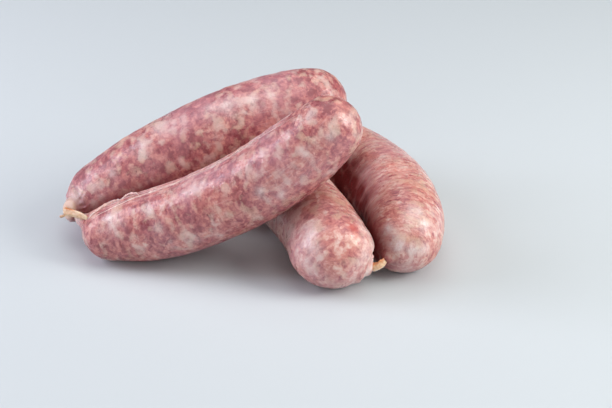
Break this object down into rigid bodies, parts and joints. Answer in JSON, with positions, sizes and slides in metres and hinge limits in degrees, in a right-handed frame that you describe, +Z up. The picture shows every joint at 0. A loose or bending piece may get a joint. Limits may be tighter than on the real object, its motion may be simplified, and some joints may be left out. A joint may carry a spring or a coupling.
{
  "type": "string of raw sausage links",
  "caption": "String of raw, coarse-ground pork sausages in natural casing, folded back on itself and lying in two crossed pairs.",
  "frame": {"origin": "middle of the underside of the whole string's box", "axes": "+Z up; +X from the knotted ends of the leaning pair towards the curved link; the two links on the ground point their twisted ends towards -Y"},
  "size_m": [0.169, 0.138, 0.0774],
  "materials": {
    "sausage": "moist natural casing over coarse-ground pork, mottled rose and cream, soft sheen",
    "dry_casing": "dried twisted casing, beige, semi-matt"
  },
  "bodies": {
    "root": {"back_left_link": "sausage", "front_left_link": "sausage", "front_middle_link": "sausage", "right_link": "sausage", "left_twist": "dry_casing", "left_loose_end": "dry_casing", "front_twist": "dry_casing", "back_twist": "dry_casing", "front_left_tail": "dry_casing", "front_middle_tail": "dry_casing"}
  },
  "joints": []
}
